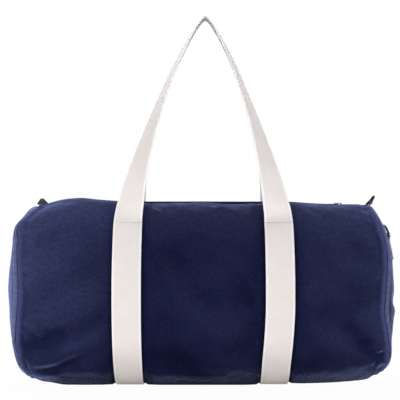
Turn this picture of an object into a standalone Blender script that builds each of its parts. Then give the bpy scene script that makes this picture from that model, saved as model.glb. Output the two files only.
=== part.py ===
"""Barrel sports bag in cotton canvas, zipped along the top and wrapped by two straps that rise as handles.

Metres, +Z up. The origin is at the bottom centre, +X runs along the bag and -Y is its front.
"""

import math

import bmesh
import bpy
from mathutils import Vector

# Body of the bag
seam_to_seam = 0.482
body_height = 0.2535
body_width = 0.260
centre_height = 0.127
seam_width = 0.236
top_drop = 0.0065
zip_straight_share = 0.60
bottom_lift = 0.016
bottom_squash = 0.0045
seam_lean_top = 0.0155
seam_lean_bottom = 0.008
lean_power = 5
straight_share = 0.62
station_shares = (0, 0.18, 0.62, 0.72, 0.80, 0.87, 0.93)
shoulder_share = 0.985
taper_power = 6
bottom_fullness = 2.05
canvas = 0.0012
clearance = 0.0003

# End panels and their seams
end_bulge = 0.0215
bulge_power = 0.45
dip_fade_power = 12
seam_allowance = 0.009
seam_fold = 0.003
binding = 0.0006
binding_width = 0.0045
end_rings = 7

# Webbing straps and handles
webbing_width = 0.038
webbing = 0.0018
strap_spacing = 0.200
strap_end_angle = math.radians(44)
strap_bed_margin = 0.001
strap_bed_ramp = 0.005
bed_start_angle = math.radians(118)
bed_full_angle = math.radians(146)
hinge_gap = 0.0010
hinge_rise = 0.0010
handle_height = 0.381
leg_rise = 0.108
front_leg_inward = 0.004
back_leg_outward = 0.010
leg_backward = 0.038
arch_reach = 0.022
handle_parting = 0.0004
handle_tilt = math.radians(6)
early_twist = math.radians(78)
late_twist = math.radians(12)
front_twist_speed = 3.2
back_twist_speed = 4.4

# Zip
zip_sink = 0.0085
valley_half_width = 0.026
lip_half_gap = 0.008
tape_half_gap = 0.0019
tape = 0.0007
tooth_pitch = 0.0044
tooth_length = 0.0018
tooth_thickness = 0.002
tooth_overreach = 0.0018
tooth_root = 0.0025
chain_half_width = 0.0045
chain_start = -0.196
chain_end = 0.182
tape_end_share = 0.975

# Slider and pull
slider_length = 0.016
slider_width = 0.0115
slider_plate = 0.0012
slider_clearance = 0.00035
slider_bevel = 0.0004
post_width = 0.0024
post_length = 0.006
bridge_width = 0.0024
bridge_half_length = 0.0052
bridge_leg = 0.0012
bridge_gap = 0.0018
bridge_bar = 0.0010
pull_length = 0.030
pull_width = 0.0085
pull_plate = 0.0012
pull_rail = 0.0018
pull_window = 0.0067
pull_hole_radius = 0.0018
pull_hole_inset = 0.005
pull_bevel = 0.0003
slider_rest = 0.187

# Stops and end tabs of the zip
stop_length = 0.004
stop_width = 0.0042
stop_height = 0.0026
stop_offset = 0.0023
tab_width = 0.025
tab_ribbon = 0.0009
tab_foot = 0.014
tab_rise = 0.013
tab_angle = math.radians(46)
tab_fold = 0.0010

# D-ring and its tab
ring_width = 0.0300
ring_rise = 0.0138
ring_wire = 0.0016
ring_corner = 0.0021
ring_height_share = 0.642
ring_tab_length = 0.032
ring_tab_width = 0.0245
ring_tab_web = 0.0016
ring_seat = 0.0004
stitch_gap = 0.0004

# Mesh steps
lip_steps = 3
shoulder_steps = 4
side_steps = 11
leg_steps = 22
merge_distance = 0.00001


# Helpers
def collection_named(name):
    group = bpy.data.collections.new(name)
    bpy.context.scene.collection.children.link(group)
    return group


def clear_scene():
    for thing in list(bpy.data.objects):
        bpy.data.objects.remove(thing, do_unlink=True)


def fabric(name, colour, roughness):
    made = bpy.data.materials.new(name)
    made.use_nodes = True
    shader = made.node_tree.nodes["Principled BSDF"]
    shader.inputs["Base Color"].default_value = (*colour, 1)
    shader.inputs["Roughness"].default_value = roughness
    shader.inputs["Metallic"].default_value = 0
    made.diffuse_color = (*colour, 1)
    return made


def navy_canvas(name):
    return fabric(name, (0.021, 0.026, 0.078), 0.9)


def ecru_webbing(name):
    return fabric(name, (0.78, 0.75, 0.72), 0.85)


def black_tape(name):
    return fabric(name, (0.012, 0.012, 0.014), 0.8)


def black_plastic(name):
    return fabric(name, (0.010, 0.010, 0.012), 0.38)


def smooth_step(share):
    share = min(max(share, 0), 1)
    return share * share * (3 - 2 * share)


def between(low, high, share):
    return low + (high - low) * share


def stations(low, high, count):
    return [between(low, high, step / count) for step in range(count + 1)]


def mesh_object(name, made, material, group):
    mesh = bpy.data.meshes.new(name)
    made.to_mesh(mesh)
    made.free()
    mesh.materials.append(material)
    for face in mesh.polygons:
        face.use_smooth = True
    shaped = bpy.data.objects.new(name, mesh)
    group.objects.link(shaped)
    return shaped


def sheet(name, rows, columns, place, thickness, side, material, group, keep=None):
    """A sheet of material: a grid laid out by place(row, column) and thickened to one side or both."""
    made = bmesh.new()
    bmesh.ops.create_grid(made, x_segments=rows, y_segments=columns, size=0.5)
    for vertex in made.verts:
        row = round((vertex.co.x + 0.5) * rows)
        column = round((vertex.co.y + 0.5) * columns)
        vertex.co = place(row, column)
        vertex.index = row * (columns + 1) + column
    if keep:
        unwanted = [
            face for face in made.faces
            if not keep(*divmod(min(vertex.index for vertex in face.verts), columns + 1))
        ]
        bmesh.ops.delete(made, geom=unwanted, context="FACES")
    bmesh.ops.remove_doubles(made, verts=made.verts, dist=merge_distance)
    shaped = mesh_object(name, made, material, group)
    shell = shaped.modifiers.new("Thickness", "SOLIDIFY")
    shell.thickness = thickness
    shell.offset = side
    shell.use_even_offset = True
    return shaped


def block(name, size, centre, bevel, material, group):
    made = bmesh.new()
    bmesh.ops.create_cube(made, size=1)
    for vertex in made.verts:
        vertex.co = Vector(a * b for a, b in zip(vertex.co, size, strict=True))
    if bevel:
        bmesh.ops.bevel(
            made, geom=made.edges[:], offset=bevel, segments=1, affect="EDGES", profile=0.5
        )
    shaped = mesh_object(name, made, material, group)
    for face in shaped.data.polygons:
        face.use_smooth = False
    shaped.location = centre
    return shaped


def helper(shaped, cutters):
    for group in list(shaped.users_collection):
        group.objects.unlink(shaped)
    cutters.objects.link(shaped)
    shaped.hide_render = True
    shaped.display_type = "WIRE"
    return shaped


def combine(target, other, operation, cutters):
    step = target.modifiers.new(operation.title() + " " + other.name, "BOOLEAN")
    step.operation = operation
    step.solver = "EXACT"
    step.object = helper(other, cutters)


# Form of the stuffed body
def seam_x(angle):
    """How far from the middle the end seam lies at this angle round the bag."""
    up = math.cos(angle)
    lean = seam_lean_top if up > 0 else seam_lean_bottom
    return seam_to_seam / 2 - lean * abs(up) ** lean_power


def valley(across):
    """How much of the zip's dip a point this far from the middle line takes."""
    return 1 - smooth_step((abs(across) - lip_half_gap) / (valley_half_width - lip_half_gap))


def skin(angle, along, inset, dip_share=1):
    """(y, z) of the bag's outside, moved in by inset, with this share of the zip's dip.

    The angle runs from the top round by the front. along is 0 in the middle and 1 at a seam.
    """
    fall = along**taper_power
    half_width = body_width / 2 - (body_width - seam_width) / 2 * fall - inset
    side, up = math.sin(angle), math.cos(angle)
    if up < 0:
        power = 2 / bottom_fullness
        depth = centre_height + bottom_squash - bottom_lift * fall - inset
        y = -half_width * math.copysign(abs(side) ** power, side)
        return y, max(centre_height - depth * abs(up) ** power, inset)
    rise = body_height - centre_height - top_drop * fall - inset
    y = -half_width * side
    dip = dip_share * (zip_sink - top_drop * min(fall, zip_straight_share)) * valley(y)
    return y, centre_height + (rise - dip) * up


def skin_x(angle, along):
    """The x of a station. Stations are straight across the straps and follow the seam at the ends."""
    middle = straight_share * seam_to_seam / 2
    if along <= straight_share:
        return along * seam_to_seam / 2
    return between(middle, seam_x(angle), (along - straight_share) / (1 - straight_share))


def station_of(x, angle):
    """The station whose x this is."""
    middle = straight_share * seam_to_seam / 2
    if abs(x) <= middle:
        return abs(x) / (seam_to_seam / 2)
    return between(straight_share, 1, (abs(x) - middle) / (seam_x(angle) - middle))


def bed_share(angle):
    """1 where the bag's weight presses the webbing into the canvas underneath, 0 up the sides."""
    turned = abs(angle % (2 * math.pi))
    turned = min(turned, 2 * math.pi - turned)
    return smooth_step((turned - bed_start_angle) / (bed_full_angle - bed_start_angle))


def bed_depth(angle, x):
    beside = abs(abs(x) - strap_spacing / 2) - webbing_width / 2 - strap_bed_margin
    return (webbing + clearance) * bed_share(angle) * (1 - smooth_step(beside / strap_bed_ramp))


def body_stations():
    """Shares of the way to a seam, closer together beside the straps and at the shoulders."""
    half = seam_to_seam / 2
    bed = webbing_width / 2 + strap_bed_margin
    edges = [
        (strap_spacing / 2 + side * (bed + step * strap_bed_ramp)) / half
        for side in (-1, 1) for step in (0, 1)
    ]
    return sorted([*edges, *station_shares])


def angle_at(across):
    """The angle at which the top of the bag is this far from the zip's line."""
    return math.asin(across / (body_width / 2))


def girth_angles():
    """Angles round the bag from lip to lip, which the canvas, straps, tapes and seams share."""
    half = stations(angle_at(lip_half_gap), angle_at(valley_half_width), lip_steps)[:-1]
    half += stations(angle_at(valley_half_width), strap_end_angle, shoulder_steps)[:-1]
    half += stations(strap_end_angle, math.pi, side_steps)
    return half + [2 * math.pi - angle for angle in reversed(half[:-1])]


def ring_angles():
    """The same angles closed over the top."""
    return [0, *girth_angles(), 2 * math.pi]


def body_panel(group):
    """The one panel of canvas that wraps the bag from lip to lip, with its edges turned in at the seams."""
    runs = [(along, 0, 0) for along in body_stations()]
    turn = seam_fold * (1 - math.sqrt(0.5))
    runs += [(shoulder_share, 0, 0), (1, turn, turn), (1, seam_fold, 0), (1, seam_allowance, 0)]
    runs = [(-1, *run) for run in reversed(runs[1:])] + [(1, *run) for run in runs]
    angles = girth_angles()

    def place(row, column):
        side, along, inset, back = runs[column]
        angle = angles[row]
        x = skin_x(angle, along) - back
        y, z = skin(angle, along, inset + bed_depth(angle, x))
        return side * x, y, z

    return sheet(
        "body_panel", len(angles) - 1, len(runs) - 1, place, canvas, -1,
        navy_canvas("navy canvas, body"), group,
    )


# End panels
def dome_x(reach, angle):
    """The x of an end panel at this share of the seam's radius."""
    lean = (seam_to_seam / 2 - seam_x(angle)) * reach * reach
    return seam_to_seam / 2 - lean + end_bulge * (1 - reach * reach) ** bulge_power


def end_panel(name, end, group):
    """A round end that bulges out, with its edge turned in against the body's."""
    turn = seam_fold * (1 - math.sqrt(0.5))
    edge = [(seam_allowance, 0), (seam_fold, 0), (turn, turn), (0, seam_fold)]
    reaches = [math.sin(math.pi / 2 * (1 - (ring + 1) / end_rings)) for ring in range(end_rings)]
    angles = ring_angles()
    outset = dome_x(reaches[0], 0) - seam_x(0)

    def place(row, column):
        angle = -end * angles[row]
        if column < len(edge):
            inset, forward = edge[column]
            y, z = skin(angle, 1, inset)
            return end * (seam_x(angle) + clearance + forward), y, z
        reach = reaches[column - len(edge)]
        y, z = skin(angle, 1, 0, reach**dip_fade_power)
        x = max(dome_x(reach, angle), seam_x(angle) + min(outset, seam_fold)) + clearance
        return end * x, y * reach, between(centre_height, z, reach)

    return sheet(
        name, len(angles) - 1, len(edge) + len(reaches) - 1, place, canvas, 1,
        navy_canvas("navy canvas, " + name), group,
    )


def seam_binding(name, end, group):
    """Tape folded over the raw edges of both panels, inside the bag."""
    out = canvas + 2 * clearance + binding / 2
    profile = [
        (seam_allowance - binding_width, -out), (seam_allowance, -out),
        (seam_allowance + out, 0), (seam_allowance, out + clearance),
        (seam_allowance - binding_width, out + clearance),
    ]

    angles = ring_angles()

    def place(row, column):
        inset, forward = profile[column]
        y, z = skin(angles[row], 1, inset)
        return end * (seam_x(angles[row]) + forward), y, z

    return sheet(
        name, len(angles) - 1, len(profile) - 1, place, binding, 0,
        navy_canvas("binding tape, " + name), group,
    )


# Straps and handles
def strap(name, end, group):
    """Webbing sewn round the bag from one side of the zip to the other, under the bottom."""
    columns = 2
    rise = clearance + webbing / 2
    ends = (strap_end_angle - merge_distance, 2 * math.pi - strap_end_angle + merge_distance)
    angles = [angle for angle in girth_angles() if ends[0] < angle < ends[1]]

    def place(row, column):
        angle = angles[row]
        x = strap_spacing / 2 + webbing_width * (column / columns - 0.5)
        along = x / (seam_to_seam / 2)
        y, z = skin(angle, along, (webbing + clearance) * bed_share(angle) - rise)
        return end * x, y, z

    return sheet(
        name, len(angles) - 1, columns, place, webbing, 0,
        ecru_webbing("ecru webbing, " + name), group,
    )


def strap_end(side):
    """Where a strap's sewn end passes into its handle: (y, z), at mid-thickness."""
    along = strap_spacing / seam_to_seam
    rise = clearance + webbing / 2
    y, z = skin(strap_end_angle, along, -rise)
    return side * abs(y), z


def hinge_spot(side):
    """The line that a handle folds about, on the outer face of the straps' ends."""
    y, z = strap_end(side)
    outward = side * hinge_rise * math.sin(strap_end_angle)
    return Vector((0, y + outward, z + hinge_rise * math.cos(strap_end_angle)))


def bezier(share, points):
    rest = 1 - share
    weights = (rest**3, 3 * rest * rest * share, 3 * rest * share * share, share**3)
    return sum((weight * point for weight, point in zip(weights, points, strict=True)), Vector())


def bezier_way(share, points):
    rest = 1 - share
    weights = (rest * rest, 2 * rest * share, share * share)
    spans = [b - a for a, b in zip(points, points[1:], strict=False)]
    way = sum((weight * span for weight, span in zip(weights, spans, strict=True)), Vector())
    return way.normalized()


def leg_points(side):
    """A handle's left leg, from its hinge on the bag to the top of the arch."""
    y, z = strap_end(side)
    reach = webbing_width / 2 + handle_parting
    crown_y = side * reach * math.cos(handle_tilt)
    crown_z = centre_height + handle_height + side * reach * math.sin(handle_tilt)
    base = Vector((-strap_spacing / 2, y, z))
    inward = front_leg_inward if side < 0 else -back_leg_outward
    first = base + Vector((inward, -side * leg_backward, leg_rise))
    crown = Vector((0, crown_y, crown_z))
    start = base + (first - base).normalized() * hinge_gap
    return [start, first, crown - Vector((arch_reach, 0, 0)), crown]


def handle(name, side, group):
    """One length of webbing that leaves the straps flat and twists a quarter turn on its way to the top."""
    columns = 2
    points = leg_points(side)
    speed = front_twist_speed if side < 0 else back_twist_speed

    def place(row, column):
        share = 1 - abs(row - leg_steps) / leg_steps
        mirror = 1 if row <= leg_steps else -1
        twist = early_twist * (1 - (1 - share) ** speed) + late_twist * share**3
        centre, way = bezier(share, points), bezier_way(share, points)
        across = Vector((
            math.cos(twist),
            side * math.sin(twist) * math.cos(handle_tilt),
            side * math.sin(twist) * math.sin(handle_tilt),
        ))
        if share:
            across = (across - across.dot(way) * way).normalized()
        spot = centre + across * webbing_width * (column / columns - 0.5)
        return mirror * spot.x, spot.y, spot.z

    shaped = sheet(
        name, 2 * leg_steps, columns, place, webbing, 0,
        ecru_webbing("ecru webbing, " + name), group,
    )
    return set_origin(shaped, hinge_spot(side))


def set_origin(shaped, spot):
    """Puts the piece's origin on its joint, with the shape left where it is."""
    shaped.data.transform(shaped.matrix_world)
    for vertex in shaped.data.vertices:
        vertex.co -= spot
    shaped.location = spot
    shaped.rotation_euler = (0, 0, 0)
    return shaped


# Zip
def zip_level():
    """The height of the canvas along the zip's line."""
    return body_height - zip_sink


def tape_drop():
    """How far the tape's middle lies under the outside of the canvas."""
    return canvas + 2 * clearance + tape / 2


def tape_level():
    return zip_level() - tape_drop()


def tooth_level():
    return tape_level() + tape / 2 + clearance + tooth_thickness / 2


def zip_tape(name, side, group):
    """One side of the zip's woven tape, under the canvas lip and running out to the seam."""
    angles = [angle_at(tape_half_gap), *girth_angles()[: lip_steps + 1]]
    run = [*body_stations(), tape_end_share]
    run = [-along for along in reversed(run[1:])] + run

    def place(row, column):
        angle, along = angles[column], abs(run[row])
        y, z = skin(angle, along, tape_drop())
        return math.copysign(skin_x(angle, along), run[row]), -side * y, z

    return sheet(
        name, len(run) - 1, len(angles) - 1, place, tape, 0, black_tape("black tape, " + name), group
    )


def zip_teeth(name, side, group):
    """One side's moulded teeth on their cord, which mesh with the other side's."""
    count = int((chain_end - chain_start) / tooth_pitch)
    shift = tooth_pitch / 2 if side > 0 else 0
    gap = (tooth_pitch - 2 * tooth_length) / 4
    across = [chain_half_width, tooth_root, -tooth_overreach]

    def place(row, column):
        tooth, part = divmod(row, 2)
        x = chain_start + shift + tooth * tooth_pitch + gap * 2
        x += tooth_length if part else 0
        narrow = gap / 2 if column == 2 else 0
        return x + (-narrow if part else narrow), side * across[column], tooth_level()

    return sheet(
        name, 2 * count - 1, 2, place, tooth_thickness, 0,
        black_plastic("black plastic, " + name), group,
        keep=lambda row, column: column == 0 or row % 2 == 0,
    )


def zip_slider(group, cutters):
    """The slider: two plates round the chain on a post, with a bridge for the pull."""
    material = black_plastic("black metal, slider")
    teeth_top = tooth_level() + tooth_thickness / 2
    plate_z = teeth_top + slider_clearance + slider_plate / 2
    under_z = tape_level() - tape / 2 - slider_clearance - slider_plate / 2
    size = (slider_length, slider_width, slider_plate)
    body = block("zip_slider", size, (slider_rest, 0, plate_z), slider_bevel, material, group)
    under = block("slider lower plate", size, (slider_rest, 0, under_z), slider_bevel, material, group)
    post = block(
        "slider post", (post_length, post_width, plate_z - under_z),
        (slider_rest, 0, (plate_z + under_z) / 2), 0, material, group,
    )
    plate_top = plate_z + slider_plate / 2
    sunk = slider_plate / 2
    tall = bridge_gap + bridge_bar + sunk
    bridge = block(
        "slider bridge", (2 * bridge_half_length, bridge_width, tall),
        (slider_rest, 0, plate_top - sunk + tall / 2), slider_bevel, material, group,
    )
    eye = block(
        "slider eye", (2 * (bridge_half_length - bridge_leg), 2 * bridge_width, bridge_gap),
        (slider_rest, 0, plate_top + bridge_gap / 2), 0, material, group,
    )
    combine(bridge, eye, "DIFFERENCE", cutters)
    for piece in (post, under, bridge):
        combine(body, piece, "UNION", cutters)
    return body, plate_top


def zip_pull(plate_top, group, cutters):
    """The pull: a plate whose end bar turns under the slider's bridge, with a hole to grip it by."""
    material = black_plastic("black metal, pull")
    level = plate_top + bridge_gap / 2
    bar = pull_plate / 2
    centre_x = slider_rest + bar - pull_length / 2
    pull = block(
        "zip_pull", (pull_length, pull_width, pull_plate), (centre_x, 0, level),
        pull_bevel, material, group,
    )
    window = block(
        "pull window", (pull_window - bar, pull_width - 2 * pull_rail, 2 * pull_plate),
        (slider_rest - bar - (pull_window - bar) / 2, 0, level), 0, material, group,
    )
    made = bmesh.new()
    bmesh.ops.create_cone(
        made, cap_ends=True, segments=16, radius1=pull_hole_radius, radius2=pull_hole_radius,
        depth=2 * pull_plate,
    )
    hole = mesh_object("pull hole", made, material, group)
    hole.location = (slider_rest + bar - pull_length + pull_hole_inset, 0, level)
    combine(pull, window, "DIFFERENCE", cutters)
    combine(pull, hole, "DIFFERENCE", cutters)
    set_origin(pull, Vector((slider_rest, 0, level)) - Vector((centre_x, 0, level)))
    pull.location = (slider_rest, 0, level)
    return pull


def zip_stops(group):
    """The stops that end the chain: one bridging block at the start, one on each tape at the closed end."""
    material = black_plastic("black plastic, stops")
    level = tape_level() + tape / 2 + clearance + stop_height / 2
    start = chain_start - clearance - stop_length / 2
    finish = slider_rest + slider_length / 2 + clearance + stop_length / 2
    wide = 2 * stop_offset + stop_width
    size = (stop_length, wide, stop_height)
    block("zip_bottom_stop", size, (start, 0, level), slider_bevel, material, group)
    for name, side in (("zip_top_stop_front", -1), ("zip_top_stop_back", 1)):
        block(
            name, (stop_length, stop_width, stop_height),
            (finish, side * (stop_offset + stop_width / 2), level), slider_bevel, material, group,
        )


def ribbon(name, path, width, thickness, material, group, columns=2):
    """A ribbon whose middle follows path in the (x, z) plane and that lies straight across the bag."""

    def place(row, column):
        x, z = path[row]
        return x, width * (column / columns - 0.5), z

    return sheet(name, len(path) - 1, columns, place, thickness, 0, material, group)


def folded_path(foot, root, way, rise, radius, back):
    """From foot to root, out along way to a fold of this radius, and back on the other side."""
    side = Vector((way.y, -way.x))
    tip = root + way * rise
    turn = [
        tip + side * radius - side * radius * math.cos(angle) + way * radius * math.sin(angle)
        for angle in stations(0, math.pi, 6)
    ]
    return [foot, between(foot, root, 0.5), root, between(root, tip, 0.5), *turn, turn[-1] - way * back]


def zip_tab(name, end, group):
    """A folded ribbon over the end of the zip, which stands up at the seam."""
    edge = angle_at(tab_width / 2)
    root, foot = (
        Vector((x, skin(edge, station_of(x, edge), -clearance - tab_ribbon / 2)[1]))
        for x in (seam_x(edge) - seam_fold, seam_x(edge) - seam_fold - tab_foot)
    )
    way = Vector((math.cos(tab_angle), math.sin(tab_angle)))
    path = folded_path(foot, root, way, tab_rise, tab_fold, tab_rise - seam_fold)
    return ribbon(
        name, [(end * spot.x, spot.y) for spot in path], tab_width - 2 * clearance, tab_ribbon,
        black_tape("black ribbon, " + name), group,
    )


# D-ring
def dome_spot(up):
    """(x, z) of an end panel's outside on its centre line, this far above the bag's centre."""
    _, top = skin(0, 1, 0, 0)
    reach = up / (top - centre_height)
    return Vector((dome_x(reach, 0) + clearance, centre_height + up))


def ring_height_above_centre():
    """How far above the bag's centre the ring's bar lies."""
    return ring_height_share * (skin(0, 1, 0, 0)[1] - centre_height)


def ring_frame():
    """The bar's centre and the direction in which the ring rises, lying against the end panel."""
    low = dome_spot(ring_height_above_centre())
    high = dome_spot(ring_height_above_centre() + ring_rise + ring_wire)
    way = (high - low).normalized()
    out = Vector((way.y, -way.x))
    seat = ring_tab_web + 2 * ring_seat + clearance + ring_wire
    return low + out * seat, way, out


def ring_tab(name, end, group):
    """Webbing folded round the ring's bar, both layers sewn to the end panel."""
    bar, way, out = ring_frame()
    radius = ring_wire + ring_seat + ring_tab_web / 2
    inner = []
    for share in stations(0, 1, 4):
        up = ring_height_above_centre() - ring_tab_length * (1 - share) - ring_wire
        spot = dome_spot(up)
        ahead = dome_spot(up + ring_wire) - spot
        normal = Vector((ahead.y, -ahead.x)).normalized()
        inner.append((spot, normal))
    lift = clearance + ring_tab_web / 2
    path = [spot + normal * lift for spot, normal in inner]
    path += [
        bar - out * radius * math.cos(angle) + way * radius * math.sin(angle)
        for angle in stations(0, math.pi, 8)
    ]
    outer = lift + ring_tab_web + stitch_gap
    path += [spot + normal * outer for spot, normal in reversed(inner[:-1])]
    return ribbon(
        name, [(end * spot.x, spot.y) for spot in path], ring_tab_width, ring_tab_web,
        ecru_webbing("ecru webbing, " + name), group,
    )


def d_ring(name, end, group):
    """A D-ring of round rod: a straight bar in the tab's fold and a bow above it."""
    bar, way, _ = ring_frame()
    half = ring_width / 2
    corner = ring_corner
    outline = [(-half + corner, 0), (half - corner, 0)]
    outline += [
        (half - corner * (1 - math.sin(turn)), corner * (1 - math.cos(turn)))
        for turn in stations(0, math.pi / 2, 3)[1:]
    ]
    outline += [
        (half * math.cos(turn), corner + (ring_rise - corner) * math.sin(turn))
        for turn in stations(0, math.pi, 12)[1:-1]
    ]
    outline += [
        (-half + corner * (1 - math.cos(turn)), corner * (1 - math.sin(turn)))
        for turn in stations(0, math.pi / 2, 3)[:-1]
    ]
    curve = bpy.data.curves.new(name, "CURVE")
    curve.dimensions = "3D"
    curve.bevel_depth = ring_wire
    curve.bevel_resolution = 1
    curve.use_fill_caps = False
    spline = curve.splines.new("POLY")
    spline.points.add(len(outline) - 1)
    for point, (across, up) in zip(spline.points, outline, strict=True):
        point.co = (end * way.x * up, across, way.y * up, 1)
    spline.use_cyclic_u = True
    curve.materials.append(black_plastic("black plastic, " + name))
    shaped = bpy.data.objects.new(name, curve)
    shaped.location = (end * bar.x, 0, bar.y)
    group.objects.link(shaped)
    return shaped


def build():
    clear_scene()
    group = collection_named("sports_bag")
    cutters = collection_named("cutters")
    cutters.hide_render = True
    body_panel(group)
    for end, label in ((-1, "left"), (1, "right")):
        end_panel("end_panel_" + label, end, group)
        seam_binding("seam_binding_" + label, end, group)
        strap("strap_" + label, end, group)
        zip_tab("zip_tab_" + label, end, group)
    ring_tab("ring_tab", 1, group)
    d_ring("d_ring", 1, group)
    for side, label in ((-1, "front"), (1, "back")):
        handle("handle_" + label, side, group)
        zip_tape("zip_tape_" + label, side, group)
        zip_teeth("zip_teeth_" + label, side, group)
    _, plate_top = zip_slider(group, cutters)
    zip_pull(plate_top, group, cutters)
    zip_stops(group)


build()
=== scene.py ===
"""Dressed scene of the sports bag: canvas, webbing, zip and studio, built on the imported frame.

Metres, in the frame's own axes: +X along the bag, -Y its front, +Z up. Angles round the bag start at its top
and go down its front. Ends and sides are -1 or 1: left or right, front or back.
"""

import math

import bmesh
import bpy
import numpy as np
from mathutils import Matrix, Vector

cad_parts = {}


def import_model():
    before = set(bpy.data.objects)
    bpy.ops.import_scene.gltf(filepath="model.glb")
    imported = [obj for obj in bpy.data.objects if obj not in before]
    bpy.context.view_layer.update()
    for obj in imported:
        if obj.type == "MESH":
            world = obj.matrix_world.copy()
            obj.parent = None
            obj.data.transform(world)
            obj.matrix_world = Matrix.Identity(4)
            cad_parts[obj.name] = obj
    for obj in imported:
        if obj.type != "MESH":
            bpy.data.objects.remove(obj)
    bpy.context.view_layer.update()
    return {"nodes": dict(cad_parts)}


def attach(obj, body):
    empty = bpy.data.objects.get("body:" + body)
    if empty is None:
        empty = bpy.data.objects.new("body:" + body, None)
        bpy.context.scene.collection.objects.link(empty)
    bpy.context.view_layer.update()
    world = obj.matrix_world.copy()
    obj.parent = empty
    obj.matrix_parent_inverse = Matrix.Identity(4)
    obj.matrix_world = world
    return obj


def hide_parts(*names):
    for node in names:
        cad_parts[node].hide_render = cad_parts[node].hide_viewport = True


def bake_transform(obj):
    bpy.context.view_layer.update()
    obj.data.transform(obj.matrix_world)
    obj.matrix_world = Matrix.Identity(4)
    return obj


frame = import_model()
TURN = 2 * math.pi

# Form of the bag, as the solids have it
HALF_LENGTH = 0.241
HEIGHT = 0.2535
WIDTH = 0.260
CENTRE = 0.127
SEAM_WIDTH = 0.236
TAPER_POWER = 6
TOP_DROP = 0.0065
ZIP_STRAIGHT = 0.60
BOTTOM_LIFT = 0.016
BOTTOM_SQUASH = 0.0008
LEAN_TOP = 0.0155
LEAN_BOTTOM = 0.008
LEAN_POWER = 5
STRAIGHT = 0.62
ZIP_SINK = 0.0085
VALLEY = 0.026
LIP = 0.008
LIP_ANGLE = math.asin(LIP / (WIDTH / 2))
CREST_REACH = 1.5
CLEARANCE = 0.0003
CANVAS = 0.0012
GIRTH_STEPS = 721

# Webbing. It moves sideways and sinks into the canvas from so many degrees from the top, over so many.
WEB_WIDTH = 0.038
WEB = 0.0018
WEB_BEAD = 0.18
STRAP_X = 0.100
STRAP_SLIP = 0.0034
SLIP = 95, 50
BED = 118, 28
BED_EDGE = 0.001, 0.005
STRAP_END = math.radians(44)
HANDLE_HEIGHT = 0.381
LEG_RISE = 0.108
LEG_INWARD = {-1: 0.009, 1: -0.006}
LEG_BACKWARD = 0.038
LEG_ONWARD = 0.030
ARCH_REACH = 0.018
PARTING = 0.0004
TILT = math.radians(6)
EARLY_TWIST = math.radians(80)
LATE_TWIST = math.radians(12)
TWIST_SPEED = {-1: 3.6, 1: 4.6}
HANDLE_LEAN = 0.004
LEAN_FROM = 0.3
HANDLE_MIDDLE = 0.32


# Numbers and noise
def smooth(share):
    share = np.clip(share, 0, 1)
    return share * share * (3 - 2 * share)


def rise(value, start, over, height=1):
    """0 up to start, then smoothly up to height over this length."""
    return height * smooth((value - start) / over)


def fall(value, start, over, height=1):
    """What is left of height after such a rise."""
    return height * (1 - rise(value, start, over))


def bump(distance, width):
    return np.exp(-((distance / width) ** 2))


def hump(value, place, width, height=1):
    """A bump of this height about a place."""
    return height * bump(value - place, width)


def waves(a, b, height, length, seed, count=14):
    """Smooth unevenness over a surface, made of this many plane waves."""
    random = np.random.default_rng(seed)
    total = np.zeros_like(a)
    for _ in range(count):
        turn, phase = random.uniform(0, TURN, 2)
        pitch = length * random.uniform(0.7, 1.5)
        total += np.sin(TURN * (a * math.cos(turn) + b * math.sin(turn)) / pitch + phase)
    return height * (total / math.sqrt(count))


def unit(vectors):
    return vectors / np.maximum(np.linalg.norm(vectors, axis=-1, keepdims=True), 1e-12)


def run_along(points):
    """The length from a line's start to each of its points."""
    return np.concatenate([[0], np.cumsum(np.linalg.norm(np.diff(points, axis=0), axis=1))])


def metres(*millimetres):
    return (value / 1000 for value in millimetres)


def beside_line(a, b, start, end):
    """The share of the way from start to end, and the distance beside that line."""
    length = math.dist(start, end)
    along_a, along_b = (end[0] - start[0]) / length, (end[1] - start[1]) / length
    from_a, from_b = a - start[0], b - start[1]
    return (from_a * along_a + from_b * along_b) / length, from_a * along_b - from_b * along_a


def within(share, past, fade):
    """1 along a line, fading to 0 over this share of it, a little past its two ends."""
    return smooth((share + past) / fade) * smooth((1 + past - share) / fade)


# The stuffed body's surface
def valley(across):
    return fall(np.abs(across), LIP, VALLEY - LIP)


def girth_fold(angle):
    """The angle from the top, 0 to pi, whichever side it is on."""
    full = np.abs(np.mod(angle, TURN))
    return np.minimum(full, TURN - full)


def degrees_down(angle):
    return np.degrees(girth_fold(angle))


# How the stuffed bag differs from its even solids, in metres. The seams' shifts go by degrees from the top,
# the others by the share of the way to a seam, negative on the left.
SEAM_SHIFT = {
    -1: (
        (0, 31, 38, 43, 47, 54, 62, 90, 107, 125, 150, 180),
        (-0.0045, -0.001, 0.0055, 0.0085, 0.0085, 0.005, 0.004, 0, 0.0025, 0.0062, 0.0058, 0.001),
    ),
    1: (
        (0, 31, 43, 66, 90, 105, 115, 125, 145, 180),
        (0.0035, -0.002, -0.0020, 0.0002, -0.0036, -0.005, -0.0010, 0.0030, 0.0085, 0.003),
    ),
}
CREST = (
    (-1, -0.93, -0.80, -0.71, -0.60, -0.50, -0.42, 0.44, 0.52, 0.586, 0.66, 0.73, 0.80, 0.87, 0.93, 1),
    (0, 0.002, 0.0055, 0.0055, 0.003, 0.001, 0, 0, -0.0008, -0.0019, -0.0026, -0.0026, -0.0024, -0.0012, 0, 0),
)
LIFT = (
    (-1, -0.95, -0.88, -0.80, -0.71, -0.55, 0.35, 0.586, 0.70, 0.80, 0.87, 0.938, 1),
    (-0.0045, -0.0045, -0.0029, -0.0032, -0.002, 0, 0, 0.0024, 0.0019, 0.0008, -0.0007, -0.0023, 0),
)


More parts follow.
